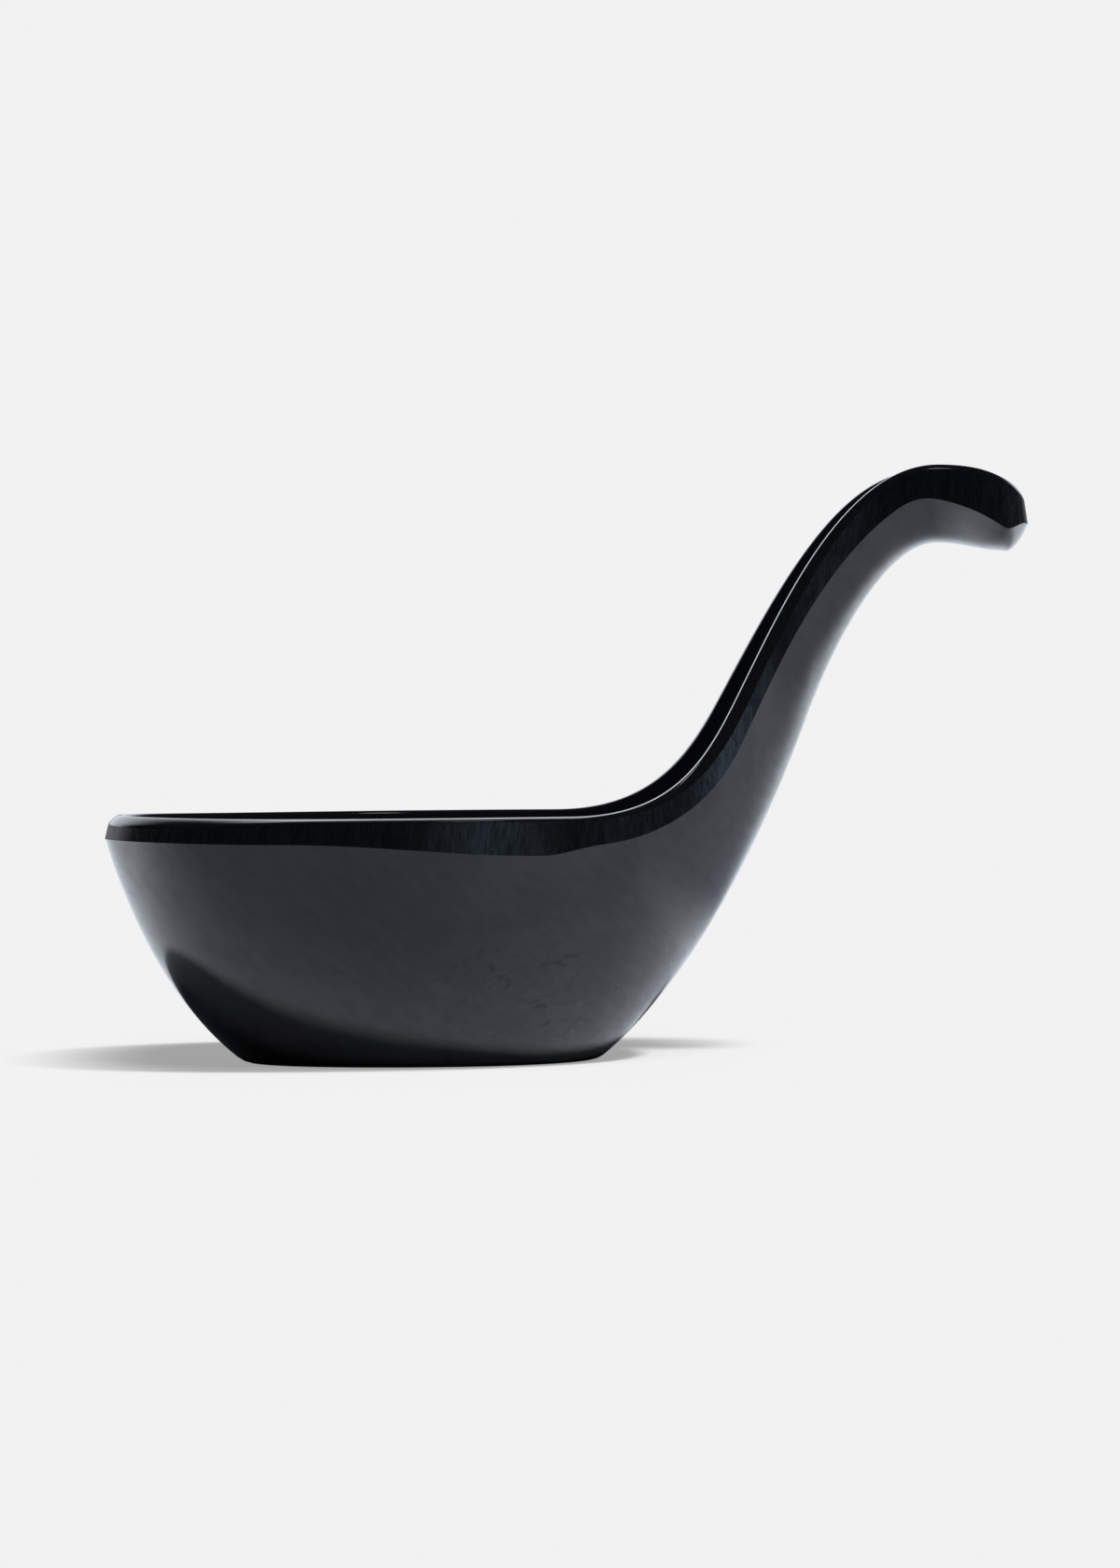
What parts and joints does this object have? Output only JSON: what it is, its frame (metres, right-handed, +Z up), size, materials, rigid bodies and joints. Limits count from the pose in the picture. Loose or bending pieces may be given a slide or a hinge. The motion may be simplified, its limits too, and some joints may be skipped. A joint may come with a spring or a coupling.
{
  "type": "tasting spoon",
  "caption": "Free-standing black tasting spoon: a deep oval bowl on a flat foot, with a channelled handle that rises from its back and hooks over at the end.",
  "frame": {"origin": "centre of the bounding box, at the table under the foot", "axes": "+X along the spoon towards the handle's end, +Y across the bowl, +Z up"},
  "size_m": [0.1204, 0.0528, 0.0766],
  "materials": {
    "body_black": "polished jet-black pressed ware, faintly smudged",
    "lining_black": "polished jet-black inside and rim, with a finely brushed ground edge"
  },
  "bodies": {
    "root": {"outer_body": "body_black", "inner_lining": "lining_black"}
  },
  "joints": []
}
